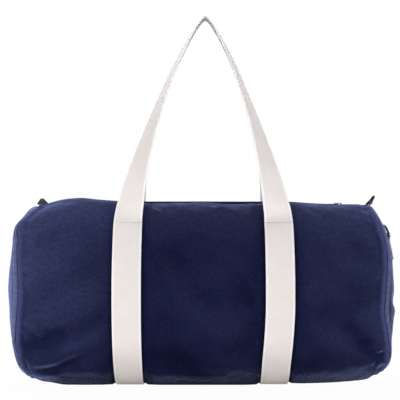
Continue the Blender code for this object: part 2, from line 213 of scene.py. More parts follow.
def curve(table, value):
    """A smooth line through a table's points, which never swings past them."""
    stops, heights = (np.array(row, float) for row in table)
    slopes = np.gradient(heights, stops)
    place = np.clip(np.searchsorted(stops, value) - 1, 0, len(stops) - 2)
    span = stops[place + 1] - stops[place]
    t = np.clip((value - stops[place]) / span, 0, 1)
    low, high = heights[place], heights[place + 1]
    steepest = 3 * ((high - low) / span)
    first, last = (
        np.where(np.abs(slope) > np.abs(steepest), steepest, slope) * span
        for slope in (slopes[place], slopes[place + 1])
    )
    return (
        low * (1 + 2 * t) * (1 - t) ** 2 + high * t * t * (3 - 2 * t)
        + first * t * (1 - t) ** 2 - last * t * t * (1 - t)
    )


def seam_lean(angle):
    up = np.cos(angle)
    return np.where(up > 0, LEAN_TOP, LEAN_BOTTOM) * np.abs(up) ** LEAN_POWER


def seam_shift(angle, end):
    return curve(SEAM_SHIFT[end], degrees_down(angle))


def seam_x(angle, end):
    return HALF_LENGTH - seam_lean(angle) + seam_shift(angle, end)


def from_seam(angle, x):
    """How far inside the nearer seam this is."""
    return np.where(x < 0, seam_x(angle, -1), seam_x(angle, 1)) - np.abs(x)


def skin(angle, along, inset=0.0, dip_share=1.0):
    """(y, z) of the bag's outside, moved in by inset, with this share of the zip's dip."""
    fall = np.abs(along) ** TAPER_POWER
    up = np.cos(angle)
    y = -(WIDTH / 2 - (WIDTH - SEAM_WIDTH) / 2 * fall - inset) * np.sin(angle)
    depth = CENTRE + BOTTOM_SQUASH - BOTTOM_LIFT * fall - curve(LIFT, along) - inset
    rise = HEIGHT - CENTRE - TOP_DROP * fall - inset
    dip = dip_share * (ZIP_SINK - TOP_DROP * np.minimum(fall, ZIP_STRAIGHT)) * valley(y)
    crest = curve(CREST, along) * (1 - valley(y)) * smooth(CREST_REACH * up)
    low = np.maximum(CENTRE - depth * np.abs(up), inset)
    return y, np.where(up < 0, low, CENTRE + (rise - dip) * up + crest)


def skin_x(angle, along):
    """The x of a station, straight across the straps and along the seam at the ends."""
    middle = STRAIGHT * HALF_LENGTH
    size = np.abs(along)
    share = (size - STRAIGHT) / (1 - STRAIGHT)
    left = middle + (seam_x(angle, -1) - middle) * share
    right = middle + (seam_x(angle, 1) - middle) * share
    outer = np.where(along < 0, left, right)
    return np.sign(along) * np.where(size <= STRAIGHT, size * HALF_LENGTH, outer)


def bed_share(angle):
    return rise(degrees_down(angle), *BED)


def strap_x(angle, end):
    """Middle of a strap's width; the right one runs inwards as it goes under the bag."""
    slip = STRAP_SLIP * rise(degrees_down(angle), *SLIP) if end > 0 else 0 * angle
    return end * (STRAP_X - slip)


def beside_strap(angle, x):
    """How far this is outside the nearer strap's edge."""
    middle = np.where(x > 0, strap_x(angle, 1), strap_x(angle, -1))
    return np.abs(x - middle) - WEB_WIDTH / 2


def bed_depth(angle, x):
    return (WEB + CLEARANCE) * bed_share(angle) * fall(beside_strap(angle, x), *BED_EDGE)


def resting_canvas(angle, along):
    """Grids of the angles, x and points of the even canvas, sunk in under the straps."""
    A, S = np.meshgrid(angle, along, indexing="ij")
    X = skin_x(A, S)
    return A, S, X, np.stack([X, *skin(A, S, bed_depth(A, X))], -1)


GIRTH_TURNS = np.linspace(0, math.pi, GIRTH_STEPS)
GIRTH_Y, GIRTH_Z = skin(GIRTH_TURNS, np.zeros_like(GIRTH_TURNS))
GIRTH_RUN = np.concatenate([[0], np.cumsum(np.hypot(np.diff(GIRTH_Y), np.diff(GIRTH_Z)))])
GIRTH = 2 * GIRTH_RUN[-1]
LIP_RUN = float(np.interp(LIP_ANGLE, GIRTH_TURNS, GIRTH_RUN))


def girth_run(angle):
    """Length round the bag from the top middle line, down the front and up the back."""
    run = np.interp(girth_fold(angle), GIRTH_TURNS, GIRTH_RUN)
    return np.where(np.mod(angle, TURN) <= math.pi, run, GIRTH - run)


def run_at(z, front):
    run = float(np.interp(z, GIRTH_Z[::-1], GIRTH_RUN[::-1]))
    return run if front else GIRTH - run


# Folds: x and z of both ends, half width and depth in millimetres, and how far the ridge beside the fold
# rises as a share of its depth. A positive ridge lies above the fold, a negative one below it.
FRONT_FOLDS = [
    ((-232, 50), (-186, 72), 12, 3.4, 0.5),
    ((-186, 72), (-119, 101), 14, 3.2, 0.4),
    ((-212, 20), (-160, 44), 8, 2.2, 0.8),
    ((-160, 44), (-128, 56), 9, 1.4, 0.6),
    ((-208, 118), (-148, 168), 17, 1.6, 0.4),
    ((-236, 78), (-214, 62), 5, 2.0, 0.9),
    ((188, 84), (214, 56), 15, 3.4, 0.9),
    ((214, 56), (238, 34), 12, 3.2, 0.7),
    ((206, 46), (234, 36), 6, 1.6, 0.8),
    ((214, 136), (238, 140), 5, 1.3, 0.6),
    ((126, 66), (176, 38), 12, 1.5, 0.5),
    ((-76, 60), (-30, 36), 16, 1.1, 0.4),
    ((30, 44), (78, 74), 16, 1.2, 0.4),
    ((-78, 168), (-20, 150), 18, 0.8, 0.3),
    ((20, 196), (80, 178), 15, 0.8, 0.4),
    ((-228, 176), (-186, 206), 9, 1.2, 0.6),
    ((186, 208), (228, 168), 10, 1.2, 0.5),
]
BACK_FOLDS = [
    ((-236, 50), (-176, 92), 14, 3.0, 0.7),
    ((-176, 92), (-122, 104), 15, 2.0, 0.5),
    ((160, 102), (222, 60), 14, 3.2, 0.8),
    ((196, 24), (236, 40), 8, 1.8, 0.7),
    ((-210, 30), (-168, 22), 8, 1.6, 0.7),
    ((-70, 64), (-18, 48), 15, 1.2, 0.4),
    ((24, 92), (78, 70), 16, 1.3, 0.4),
    ((200, 150), (236, 128), 7, 1.4, 0.6),
    ((-232, 150), (-196, 172), 8, 1.4, 0.6),
    ((-60, 190), (10, 200), 16, 0.8, 0.4),
]
FOLD_PAST, FOLD_FADE = 0.28, 0.4
# The ridges beside a fold: height as a share of its depth, place and width as shares of its half width
RIDGE_AT, RIDGE_WIDTH = 1.7, 1.15
FAR_RIDGE, FAR_AT, FAR_WIDTH = 0.35, 1.9, 1.3

# Unevenness of the canvas, each as (height, length, seed) and perhaps a count of waves, and where the puckers
# lie and how far they reach
LUMPS = (0.0011, 0.11, 3), (0.0006, 0.055, 5)
SMALL_LUMPS = (0.00022, 0.024, 8)
SEAM_PUCKERS, SEAM_PUCKER_FADE = (0.0007, 0.017, 11, 6), 0.012
STRAP_PUCKERS, STRAP_PUCKER_AT = (0.0005, 0.021, 13, 6), (0.009, 0.008)
ZIP_PUCKERS, ZIP_PUCKER_AT = (0.0004, 0.019, 17, 6), (0.010, 0.009)
SEAM_STRETCH, PUCKER_STRETCH = 0.3, 0.2
# Where the bag's own weight flattens the canvas, in degrees, and how much less it does so at the ends
UNDER, END_FREEDOM = (140, 22), 0.6
# Where sewing holds the canvas, as (start, over): degrees down and beside a strap, in from a seam, from a lip
HOLD_DOWN, HOLD_BESIDE, SEAM_HOLD, LIP_HOLD = (22, 12), (0.001, 0.022), (-0.0015, 0.010), (0, 0.012)


def fold_push(x, run, folds, front):
    """How far the canvas moves out (or, negative, in) for these folds."""
    total = np.zeros_like(x)
    for (x0, z0), (x1, z1), width, depth, ridge in folds:
        x0, z0, x1, z1, width, depth = metres(x0, z0, x1, z1, width, depth)
        share, beside = beside_line(x, run, (x0, run_at(z0, front)), (x1, run_at(z1, front)))
        # Above the fold is towards the top of the bag, where the run is shorter on the front.
        above = beside if (x1 > x0) == front else -beside
        shape = -bump(above, width) + abs(ridge) * bump(
            above - math.copysign(RIDGE_AT * width, ridge), RIDGE_WIDTH * width
        )
        shape += FAR_RIDGE * bump(above + math.copysign(FAR_AT * width, ridge), FAR_WIDTH * width)
        total += depth * within(share, FOLD_PAST, FOLD_FADE) * shape
    return total


def strap_hold(x, angle):
    """0 where a sewn strap holds the canvas down, 1 well away from it."""
    return 1 - fall(beside_strap(angle, x), *HOLD_BESIDE) * rise(degrees_down(angle), *HOLD_DOWN)


def canvas_push(x, run, angle, along):
    """The canvas's own unevenness: folds, soft lumps and puckers, along its normal."""
    folds = fold_push(x, run, FRONT_FOLDS, True) + fold_push(x, run, BACK_FOLDS, False)
    lumps = waves(x, run, *LUMPS[0]) + waves(x, run, *LUMPS[1])
    inside = from_seam(angle, x)
    from_lip = np.minimum(run, GIRTH - run) - LIP_RUN
    ripple = waves(run, SEAM_STRETCH * x, *SEAM_PUCKERS) * np.exp(-np.maximum(inside, 0) / SEAM_PUCKER_FADE)
    pucker = waves(run, PUCKER_STRETCH * x, *STRAP_PUCKERS) * hump(beside_strap(angle, x), *STRAP_PUCKER_AT)
    zip_ripple = waves(x, PUCKER_STRETCH * run, *ZIP_PUCKERS) * hump(from_lip, *ZIP_PUCKER_AT)
    end_share = END_FREEDOM * np.clip(np.abs(along), 0, 1) ** TAPER_POWER
    flat = 1 - rise(degrees_down(angle), *UNDER) * (1 - end_share)
    free = strap_hold(x, angle) * rise(inside, *SEAM_HOLD) * rise(from_lip, *LIP_HOLD)
    return (folds + lumps + waves(x, run, *SMALL_LUMPS) + pucker) * free * flat + (ripple + zip_ripple) * flat


# Mesh building
RIBBON_SPOTS = (0.25, 0.5, 0.75, 0.88, 0.95, 0.985, 1)
RIBBON_ROUND = 14
BEAD_AT, BEAD_REACH = 0.93, 0.04


def placed(name, data):
    """An object in the scene that shows this mesh, lamp or lens."""
    made = bpy.data.objects.new(name, data)
    bpy.context.scene.collection.objects.link(made)
    return made


def grid_object(name, points, uv, flip=False, wear_and_painted_light=None):
    """A sheet of quads over a (rows, columns, 3) array, with UVs in metres."""
    rows, columns = points.shape[:2]
    index = np.arange(rows * columns).reshape(rows, columns)
    quads = np.stack([index[:-1, :-1], index[1:, :-1], index[1:, 1:], index[:-1, 1:]], -1).reshape(-1, 4)
    if flip:
        quads = quads[:, ::-1]
    mesh = bpy.data.meshes.new(name)
    mesh.from_pydata(points.reshape(-1, 3), [], quads)
    layer = mesh.uv_layers.new(name="cloth")
    layer.data.foreach_set("uv", uv.reshape(-1, 2)[quads.reshape(-1)].reshape(-1).astype(np.float32))
    if wear_and_painted_light is not None:
        kept = mesh.attributes.new("wear_and_painted_light", "FLOAT", "POINT")
        kept.data.foreach_set("value", wear_and_painted_light.reshape(-1).astype(np.float32))
    mesh.shade_smooth()
    return placed(name, mesh)


def ribbon_object(name, centre, across, width, thickness, bead, material):
    """Webbing with a thickness: a rounded strip along centre, closed at both ends, its edges beaded."""
    normal = unit(np.cross(across, unit(np.gradient(centre, axis=0))))
    half = np.array([-spot for spot in RIBBON_SPOTS[::-1]] + [0, *RIBBON_SPOTS])
    high = np.sqrt(np.maximum(1 - np.abs(half) ** RIBBON_ROUND, 0))
    high = high * (1 + bead * bump(np.abs(half) - BEAD_AT, BEAD_REACH))
    ring_u = np.concatenate([half, half[::-1][1:-1]]) * width / 2
    ring_h = np.concatenate([high, -high[::-1][1:-1]]) * thickness / 2
    run = run_along(centre)
    points = centre[:, None, :] + across[:, None, :] * ring_u[:, None] + normal[:, None, :] * ring_h[:, None]
    rows, columns = points.shape[:2]
    made = bmesh.new()
    layer = made.loops.layers.uv.new("cloth")
    grid = [[made.verts.new(p) for p in row] for row in points]

    def face(spots):
        new = made.faces.new([grid[i][j] for i, j in spots])
        new.smooth = True
        for loop, (i, j) in zip(new.loops, spots, strict=True):
            loop[layer].uv = (ring_u[j], run[i])

    for i in range(rows - 1):
        for j in range(columns):
            k = (j + 1) % columns
            face([(i, j), (i, k), (i + 1, k), (i + 1, j)])
    for i, order in ((0, -1), (rows - 1, 1)):
        face([(i, j) for j in range(columns)][::order])
    bmesh.ops.recalc_face_normals(made, faces=made.faces)
    mesh = bpy.data.meshes.new(name)
    made.to_mesh(mesh)
    made.free()
    mesh.materials.append(material)
    return placed(name, mesh)


def surface_normal(points):
    return unit(np.cross(np.gradient(points, axis=1), np.gradient(points, axis=0)))


def thick_sheet(name, points, thickness, material):
    """A closed piece of cloth: a (rows, columns, 3) grid given this thickness, with UVs in metres."""
    normal = surface_normal(points)
    across = np.cumsum(np.linalg.norm(np.diff(points, axis=1, prepend=points[:, :1]), axis=2), axis=1)
    along = np.cumsum(np.linalg.norm(np.diff(points, axis=0, prepend=points[:1]), axis=2), axis=0)
    uv = np.stack([across - across[:, -1:] / 2, along], -1)
    front = grid_object(name, points + normal * thickness / 2, uv)
    rear = grid_object(name + " rear", points - normal * thickness / 2, uv, flip=True)
    made = bmesh.new()
    made.from_mesh(front.data)
    made.from_mesh(rear.data)
    bpy.data.objects.remove(rear)
    bmesh.ops.bridge_loops(made, edges=[edge for edge in made.edges if edge.is_boundary])
    bmesh.ops.recalc_face_normals(made, faces=made.faces)
    for face in made.faces:
        face.smooth = True
    made.to_mesh(front.data)
    made.free()
    front.data.materials.append(material)
    return front


# Materials
class Tree:
    """A small way of writing a node tree."""

    def __init__(self, owner):
        owner.use_nodes = True
        self.nodes, self.links = owner.node_tree.nodes, owner.node_tree.links

    def feed(self, socket, value):
        """Links a socket, or sets its own value: a number, a colour as a tuple or a vector as a list."""
        if isinstance(value, bpy.types.NodeSocket):
            self.links.new(value, socket)
        else:
            socket.default_value = (*value, 1) if isinstance(value, tuple) else value

    def add(self, kind, **settings):
        """A node; each setting is its own or, with _ for a space, that of one of its sockets."""
        node = self.nodes.new("ShaderNode" + kind)
        for key, value in settings.items():
            if hasattr(node, key):
                setattr(node, key, value)
            else:
                self.feed(node.inputs[key.replace("_", " ")], value)
        return node

    def maths(self, operation, *values):
        node = self.add("Math", operation=operation)
        for socket, value in zip(node.inputs, values, strict=False):
            self.feed(socket, value)
        return node.outputs[0]

    def plus(self, first, *others):
        for other in others:
            first = self.maths("ADD", first, other)
        return first

    def times(self, a, b):
        return self.maths("MULTIPLY", a, b)

    def apart(self, a, b):
        return self.maths("ABSOLUTE", self.maths("SUBTRACT", a, b))

    def wave(self, value, pitch):
        return self.maths("SINE", self.times(value, TURN / pitch))

    def uv(self):
        vector = self.add("UVMap", uv_map="cloth").outputs[0]
        split = self.add("SeparateXYZ", Vector=vector)
        return vector, split.outputs[0], split.outputs[1]

    def place(self, kind="Object"):
        return self.add("TexCoord").outputs[kind]

    def noise(self, vector, scale, detail, rough):
        return self.add("TexNoise", Vector=vector, Scale=scale, Detail=detail, Roughness=rough).outputs["Fac"]

    def stretched(self, vector, scale):
        return self.add("Mapping", Vector=vector, Scale=scale).outputs[0]

    def remap(self, value, low, high, out_low=0.0, out_high=1.0):
        node = self.add("MapRange", Value=value, From_Min=low, From_Max=high, To_Min=out_low, To_Max=out_high)
        return node.outputs[0]

    def mix(self, factor, a, b):
        node = self.add("Mix", data_type="RGBA")
        for place, value in ((0, factor), (6, a), (7, b)):
            self.feed(node.inputs[place], value)
        return node.outputs[2]

    def end_in(self, output, seen, plain, white):
        """Ends the tree in one shader that lights and another that is seen."""
        mixer = self.add("MixShader")
        for socket, value in zip(mixer.inputs, (seen, plain.outputs[0], white.outputs[0]), strict=True):
            self.feed(socket, value)
        self.feed(self.nodes[output].inputs["Surface"], mixer.outputs[0])


class Shader(Tree):
    """A material of one Principled shader."""

    def __init__(self, name, colour, roughness):
        self.material = bpy.data.materials.new(name)
        super().__init__(self.material)
        self.surface = self.nodes["Principled BSDF"]
        self.material.diffuse_color = (*colour, 1)
        self.set(Base_Color=colour, Roughness=roughness)

    def set(self, **values):
        for key, value in values.items():
            self.feed(self.surface.inputs[key.replace("_", " ")], value)

    def relief(self, height, strength, distance):
        node = self.add("Bump", Height=height, Strength=strength, Distance=distance)
        self.set(Normal=node.outputs[0])

    def sheen(self, weight, roughness, tint):
        self.set(Sheen_Weight=weight, Sheen_Roughness=roughness, Sheen_Tint=tint)


def canvas_material(name, painted_lightening, worn_and_lit_colour, sheen):
    """Navy cotton canvas: plain weave, slubs, rubbed pale seams, painted highlights on ridges and painted shade.
    """
    pitch = 0.0009
    dark, light, fleck = (0.0028, 0.0040, 0.0200), (0.0060, 0.0084, 0.0345), (0.0125, 0.0165, 0.0560)
    slub, shade, gloss = (0.0022, 0.0028, 0.0120), (0.0012, 0.0015, 0.0060), (0.42, 0.50, 1.0)
    s = Shader(name, (0.0095, 0.0115, 0.040), 0.92)
    vector, u, v = s.uv()
    weave = s.times(s.wave(u, pitch), s.wave(v, pitch))
    threads = [1, 0.12, 1], [0.12, 1, 1]
    grain = s.plus(*[s.noise(s.stretched(vector, scale), 900, 2, 0.6) for scale in threads])
    speck = s.noise(vector, 420, 3, 0.65)
    rubbed = s.noise(vector, 160, 4, 0.7)
    mottle, fade = s.noise(vector, 28, 4, 0.6), s.noise(vector, 7, 3, 0.55)
    # The attribute read here carries rubbed wear and painted light above 0, and painted shade below 0
    wear_and_painted_light = s.add("Attribute", attribute_name="wear_and_painted_light").outputs["Fac"]
    base = s.mix(s.remap(s.plus(mottle, fade), 0.7, 1.3), dark, light)
    base = s.mix(s.remap(speck, 0.42, 0.66, 0, 0.85), base, fleck)
    base = s.mix(s.remap(grain, 0.80, 1.25, 0, 0.65), base, slub)
    base = s.mix(s.times(s.plus(wear_and_painted_light, painted_lightening), s.remap(rubbed, 0.3, 0.7, 0.45, 1.0)), base, worn_and_lit_colour)
    # Painted shade: below 0 the colour goes towards near-black, and the sheen is mostly left out there
    s.set(Base_Color=s.mix(s.remap(wear_and_painted_light, -0.25, 0, 0.9, 0), base, shade))
    s.set(Roughness=s.remap(speck, 0.3, 0.7, 0.84, 0.97), Specular_IOR_Level=0.02)
    s.relief(s.plus(s.times(weave, 0.30), s.times(grain, 1.1), s.times(speck, 0.5)), 0.55, 0.0004)
    s.sheen(s.remap(wear_and_painted_light, -0.5, -0.1, 0.05 * sheen, sheen), 0.17, gloss)
    return s.material


def herringbone(s, u, v, band, pitch):
    shift = 0.1  # keeps the bands' ping-pong on positive numbers
    return s.wave(s.plus(v, s.maths("PINGPONG", s.plus(u, shift), band)), pitch)


def webbing_material(name, twisted_at=None):
    """Ecru cotton webbing: herringbone in narrow bands, brighter selvedges, painted shade in the stitch grooves.
    """
    ecru, warm, shade = (0.82, 0.785, 0.765), (0.77, 0.715, 0.68), (0.55, 0.50, 0.47)
    bright, groove_shade_colour = (0.90, 0.88, 0.87), (0.50, 0.46, 0.44)
    inner = WEB_WIDTH / 2 - 0.0034
    s = Shader(name, (0.78, 0.75, 0.72), 0.9)
    vector, u, v = s.uv()
    twill = herringbone(s, u, v, 0.0042, 0.0028)
    ribs, picks = s.wave(u, 0.0016), s.wave(v, 0.0012)
    fuzz = s.noise(vector, 700, 3, 0.7)
    blotch, broad = s.noise(vector, 45, 4, 0.6), s.noise(vector, 9, 2, 0.5)
    side = s.maths("ABSOLUTE", u)
    selvedge = s.remap(side, inner, inner + 0.0008)
    groove = s.maths("SUBTRACT", 1.0, s.remap(s.apart(side, inner), 0.0, 0.0006))
    base = s.mix(s.remap(s.plus(blotch, broad), 0.75, 1.3), ecru, warm)
    base = s.mix(s.remap(twill, -0.9, 0.6, 0.85, 0.0), base, shade)
    base = s.mix(s.remap(fuzz, 0.35, 0.75, 0.35, 0.0), base, shade)
    base = s.mix(s.times(selvedge, 0.40), base, bright)
    # Painted shade along the stitching grooves
    s.set(Base_Color=s.mix(s.times(groove, 0.25), base, groove_shade_colour), Specular_IOR_Level=0.15)
    parts = (twill, 0.5), (ribs, 0.16), (picks, 0.16), (fuzz, 0.9), (groove, -0.8)
    height = s.plus(*[s.times(part, share) for part, share in parts])
    if twisted_at:
        # The handle's middle is seen edge-on, where a fine relief only makes noise.
        height = s.times(height, s.remap(s.apart(v, twisted_at), 0.11, 0.20))
    s.relief(height, 0.30, 0.0003)
    s.sheen(0.15, 0.5, (1.0, 0.98, 0.95))
    return s.material


def ribbon_material(name):
    """Black woven tape with a fine herringbone."""
    dark, light, fuzzy = (0.004, 0.004, 0.005), (0.012, 0.012, 0.015), (0.026, 0.026, 0.031)
    s = Shader(name, (0.014, 0.014, 0.017), 0.82)
    vector, u, v = s.uv()
    twill = herringbone(s, u, v, 0.003, 0.0011)
    fuzz = s.noise(vector, 900, 3, 0.7)
    base = s.mix(s.remap(twill, -1, 1), dark, light)
    s.set(Base_Color=s.mix(s.remap(fuzz, 0.45, 0.8, 0, 0.5), base, fuzzy))
    s.set(Roughness=s.remap(fuzz, 0.3, 0.7, 0.7, 0.92))
    s.relief(s.plus(twill, fuzz), 0.5, 0.0002)
    s.sheen(0.06, 0.4, (0.8, 0.82, 0.9))
    return s.material


def plastic_material(name, rough):
    """Black moulded plastic or lacquered metal with fine orange peel and rubbed high spots."""
    dark, rubbed = (0.008, 0.008, 0.010), (0.020, 0.020, 0.023)
    s = Shader(name, (0.010, 0.010, 0.012), rough)
    place = s.place()
    cloud = s.noise(place, 160, 4, 0.6)
    s.set(Base_Color=s.mix(s.remap(cloud, 0.35, 0.7), dark, rubbed))
    s.set(Roughness=s.remap(cloud, 0.3, 0.7, rough - 0.08, rough + 0.14))
    s.relief(s.noise(place, 1400, 3, 0.6), 0.18, 0.0001)
    return s.material


def thread_material(name, colour):
    s = Shader(name, colour, 0.7)
    fuzz = s.noise(s.place(), 2200, 3, 0.7)
    s.set(Base_Color=s.mix(s.remap(fuzz, 0.3, 0.7), tuple(0.6 * c for c in colour), colour))
    s.relief(fuzz, 0.4, 0.0001)
    return s.material


NAVY = canvas_material("navy canvas", 0.0, (0.044, 0.052, 0.128), 0.40)
# The end panels' canvas is painted lighter all over, a lit copy of the canvas, with more sheen
NAVY_ENDS = canvas_material("navy canvas ends", 0.70, (0.105, 0.118, 0.235), 0.9)
WEBBING = webbing_material("ecru webbing")
HANDLE_WEBBING = webbing_material("ecru handle webbing", HANDLE_MIDDLE)
RIBBON = ribbon_material("black ribbon")
PLASTIC = plastic_material("black plastic", 0.36)
METAL = plastic_material("black lacquer", 0.30)
ECRU_THREAD = thread_material("ecru thread", (0.78, 0.75, 0.71))


def dress(piece, slot, *nodes):
    """Puts a piece on the bag, in place of these nodes. Its slot is not used."""
    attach(piece, "bag")
    if nodes:
        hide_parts(*nodes)


# How the canvas settles over what fills it: sewn points stay, and the cloth is a little larger than the form
SIM_ROWS = 120
SIM_COLUMNS = 108
SIM_CROWDING = 0.92
SIM_FRAMES = 16
SIM_GRAVITY = 0.06
SLACK_REACH = 0.30
SEWN_PAST = 0.03
SIM_CLOTH = {
    "quality": 5,
    "mass": 0.02,
    "air_damping": 2,
    "tension_stiffness": 30,
    "compression_stiffness": 30,
    "shear_stiffness": 12,
    "bending_stiffness": 0.02,
    "tension_damping": 12,
    "compression_damping": 12,
    "shear_damping": 12,
    "vertex_group_mass": "sewn",
    "vertex_group_shrink": "slack",
    "shrink_min": -0.008,
    "shrink_max": -0.06,
    "use_pressure": True,
    "uniform_pressure_force": 60,
}


def sewn_down(A, X):
    """Where the canvas is sewn down: at the seams, at the zip and under the straps."""
    sewn = (beside_strap(A, X) < 0) & (girth_fold(A) > STRAP_END - SEWN_PAST)
    sewn[:, [0, -1]] = True
    sewn[[0, -1], :] = True
    return sewn


def settled_offsets():
    """(angle, along, offsets) of the canvas after a cloth simulation with a little slack and a filling."""
    angle = np.linspace(LIP_ANGLE, TURN - LIP_ANGLE, SIM_ROWS)
    along = np.linspace(-1, 1, SIM_COLUMNS)
    along = np.sign(along) * (np.abs(along) ** SIM_CROWDING)
    A, S, X, points = resting_canvas(angle, along)
    piece = grid_object("canvas at rest", points, np.stack([X, A], -1))
    pins = piece.vertex_groups.new(name="sewn")
    pins.add(np.flatnonzero(sewn_down(A, X)).tolist(), 1.0, "REPLACE")
    slack = piece.vertex_groups.new(name="slack")
    near_seam = fall(1 - np.abs(S), 0, SLACK_REACH)
    for k, weight in enumerate(near_seam.reshape(-1).tolist()):
        slack.add([k], weight, "REPLACE")
    cloth = piece.modifiers.new("Cloth", "CLOTH")
    for key, value in SIM_CLOTH.items():
        setattr(cloth.settings, key, value)
    cloth.settings.effector_weights.gravity = SIM_GRAVITY
    cloth.collision_settings.use_collision = False
    cloth.point_cache.frame_start = 1
    cloth.point_cache.frame_end = SIM_FRAMES
    scene = bpy.context.scene
    for moment in range(1, SIM_FRAMES + 1):
        scene.frame_set(moment)
    shaped = piece.evaluated_get(bpy.context.evaluated_depsgraph_get())
    settled = np.empty(points.size, np.float32)
    shaped.data.vertices.foreach_get("co", settled)
    offsets = settled.reshape(points.shape) - points
    bpy.data.objects.remove(piece)
    scene.frame_set(1)
    return angle, along, offsets


def spread(grid, rows, columns, new_rows, new_columns):
    """A coarse grid's values at the rows and columns of a finer one."""
    for stops, values in ((rows, new_rows), (columns, new_columns)):
        place = np.clip(np.searchsorted(stops, values) - 1, 0, len(stops) - 2)
        t = ((values - stops[place]) / (stops[place + 1] - stops[place]))[:, None]
        grid = (grid[place] * (1 - t) + grid[place + 1] * t).T
    return grid


def softened(values, times):
    """Values smoothed along both axes."""
    for _ in range(times):
        values[1:-1] = (values[:-2] + 2 * values[1:-1] + values[2:]) / 4
        values[:, 1:-1] = (values[:, :-2] + 2 * values[:, 1:-1] + values[:, 2:]) / 4
    return values


# Canvas body: its grid is finer near the lips (radians from the top) and the seams (share of the way to them)
LIP_ZONE, LIP_ROWS, BODY_ROWS = 0.42, 40, 300
SEAM_ZONE, SEAM_COLUMNS, SEAM_CROWDING, INNER_COLUMNS = 0.07, 22, 1.5, 140
MIDDLE_ROW = 150
# The seam stands up as a plain ridge, with a shallow ditch inside it: (place, reach) from the seam's edge
RIDGE, DITCH = (0.0016, 0.0022), (0.0075, 0.004)
BODY_RIDGE, BODY_DITCH = 0.0016, 0.0009
END_RIDGE, END_DITCH = 0.0015, 0.0008
SETTLE_PASSES = 3
# Over the zip's tape the canvas hardly sinks in
TAPE_FADE, TAPE_GUARD = 0.008, 0.9
# Turned edges, two rows each: (onward, down) of a lip's, the drops of a seam's and how far its last one goes
# back, and the cloth's run to each row
LIP_TURN = (0.0006, 0.0007), (-0.004, 0.0016)
SEAM_TURN, SEAM_SIDEWAYS = (0.0016, 0.0060), 0.0012
LIP_STEPS, SEAM_STEPS = (0.0012, 0.004), (0.003, 0.008)
# Wear and painted light, a share of the way to the pale colour; below 0, painted shade. In brackets: where it
# starts or lies, how far it reaches, and its height. The painted light of the ends keeps only a part low down.
SEAM_RUB, SEAM_PALE = (0.0022, 0.0030, 1.3), (0, 0.035, 0.16)
# Painted shadow beside the straps; painted highlights on fold ridges and painted shade in the folds' hollows
STRAP_SHADE, STRAP_SHADE_DOWN = (0.001, 0.0035, 0.22), (30, 10)
FOLD_SHADE, FOLD_SHADE_DEPTH, FOLD_SHADE_FADE = 0.14, 0.0025, 0.006
# Painted light towards the two ends and on the crown, and painted shade low down
LEFT_PAINTED_LIGHT, LEFT_LOW = (0.06, 0.15, 0.54), 0.15
RIGHT_PAINTED_LIGHT, RIGHT_LOW = (0.08, 0.12, 0.24), 0.2
PAINTED_LIGHT_UP = 0.20
CROWN_PAINTED_LIGHT, ALL_FADE = (0.185, 0.06, 0.27), 0.03
LOW_SHADE, LOWEST_SHADE = (0, 0.075, 0.10), (0, 0.024, 0.50)


def seam_profile(inside, ridge, ditch):
    return hump(inside, *RIDGE, ridge) - hump(inside, *DITCH, ditch)


def eased(push, share):
    """Push with this share of its inward part left out."""
    return np.where(push < 0, push * (1 - share), push)


def extended(values, near, far):
    """A row of UVs with two more at each end, for the turned edges."""
    low, high = values.min(), values.max()
    return np.concatenate([[low - far, low - near], values, [high + near, high + far]])


def canvas_body():
    """The one panel of canvas that wraps the bag from lip to lip."""
    last = TURN - LIP_ANGLE
    angle = np.concatenate([
        np.linspace(LIP_ANGLE, LIP_ZONE, LIP_ROWS)[:-1],
        np.linspace(LIP_ZONE, TURN - LIP_ZONE, BODY_ROWS)[:-1],
        np.linspace(TURN - LIP_ZONE, last, LIP_ROWS),
    ])
    inner = np.linspace(0, 1 - SEAM_ZONE, INNER_COLUMNS)
    along = np.concatenate([inner, 1 - SEAM_ZONE * np.linspace(1, 0, SEAM_COLUMNS)[1:] ** SEAM_CROWDING])
    along = np.concatenate([-along[::-1][:-1], along])
    A, S, X, points = resting_canvas(angle, along)
    Y, Z = points[..., 1], points[..., 2]
    run = girth_run(A)
    inside = from_seam(A, X)
    push = canvas_push(X, run, A, S) + seam_profile(inside, BODY_RIDGE, BODY_DITCH)
    normal = surface_normal(points)
    outward = np.sign(np.sum(normal * np.stack([0 * X, Y, Z - CENTRE], -1), -1, keepdims=True))
    normal = normal * np.where(outward == 0, 1, outward)
    sim_angle, sim_along, offsets = settled_offsets()
    moved = np.stack([spread(offsets[..., k], sim_angle, sim_along, angle, along) for k in range(3)], -1)
    push += softened(np.sum(moved * normal, -1), SETTLE_PASSES) * strap_hold(X, A)
    push = eased(push, fall(np.abs(Y), VALLEY, TAPE_FADE, TAPE_GUARD) * (Z > CENTRE))
    points = points + normal * push[..., None]
    points[..., 2] = np.maximum(points[..., 2], 0.0)
    rows, columns = extended(run[:, 0], *LIP_STEPS), extended(X[MIDDLE_ROW], *SEAM_STEPS)
    uv = np.stack(np.meshgrid(columns, rows), -1)
    # Painted light and shade on the folds: paler where the canvas stands out, darker where it sinks in
    folds = FOLD_SHADE * np.clip(push / FOLD_SHADE_DEPTH, -1, 1) * rise(inside, 0, FOLD_SHADE_FADE)
    wear_and_painted_light = canvas_wear_and_light(A, X, Z, inside) + folds
    return grid_object("canvas_body", add_edges(points), uv, wear_and_painted_light=np.pad(wear_and_painted_light, 2, mode="edge"))


